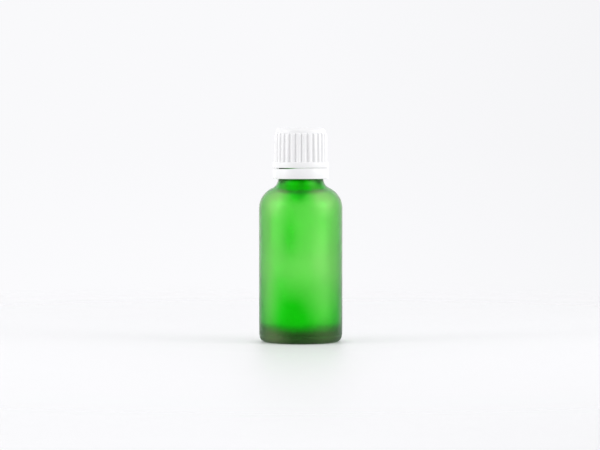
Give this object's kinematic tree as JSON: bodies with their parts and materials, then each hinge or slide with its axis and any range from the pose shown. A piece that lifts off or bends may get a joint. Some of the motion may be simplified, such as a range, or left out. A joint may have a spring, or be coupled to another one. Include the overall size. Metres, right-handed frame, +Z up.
{
  "type": "medicine bottle",
  "caption": "Round frosted green glass dropper bottle with a domed shoulder, a ribbed white screw cap and a tamper-evident band under it.",
  "frame": {"origin": "centre of the bottle's foot ring, on the surface that it stands on", "axes": "+Z up along the bottle's axis, -Y towards the front, +X to the right of the front"},
  "size_m": [0.0334, 0.0334, 0.0857],
  "materials": {
    "frosted_glass": "green moulded glass with a satin, acid-frosted outside and a smooth inside",
    "white_plastic": "white injection-moulded polypropylene with a fine satin surface",
    "natural_polyethylene": "natural, slightly milky low-density polyethylene",
    "tube_plastic": "thin extruded polyethylene tube, milky",
    "liner_foam": "white foamed polyethylene sheet with fine cells"
  },
  "bodies": {
    "bottle": {"glass_bottle": "frosted_glass", "dropper_plug": "natural_polyethylene", "air_tube": "tube_plastic"},
    "liner": {"cap_liner": "liner_foam"},
    "cap": {"screw_cap": "white_plastic"},
    "band": {"tamper_band": "white_plastic", "tamper_bridges": "white_plastic"}
  },
  "joints": [
    {"name": "cap_lift", "type": "slide", "parent": "bottle", "child": "liner", "axis": [0, 0, 1], "range_m": [0, 0.0181]},
    {"name": "cap_turn", "type": "hinge", "parent": "liner", "child": "cap", "pos_m": [0, 0, 0.0839], "axis": [0, 0, 1], "range_deg": [0, 2160]},
    {"name": "band_drop", "type": "slide", "parent": "bottle", "child": "band", "axis": [0, 0, 1], "range_m": [-0.0024, 0]}
  ],
  "couplings": [
    {"joint": "cap_lift", "follows": "cap_turn", "m_per_rad": 0.00047746}
  ]
}
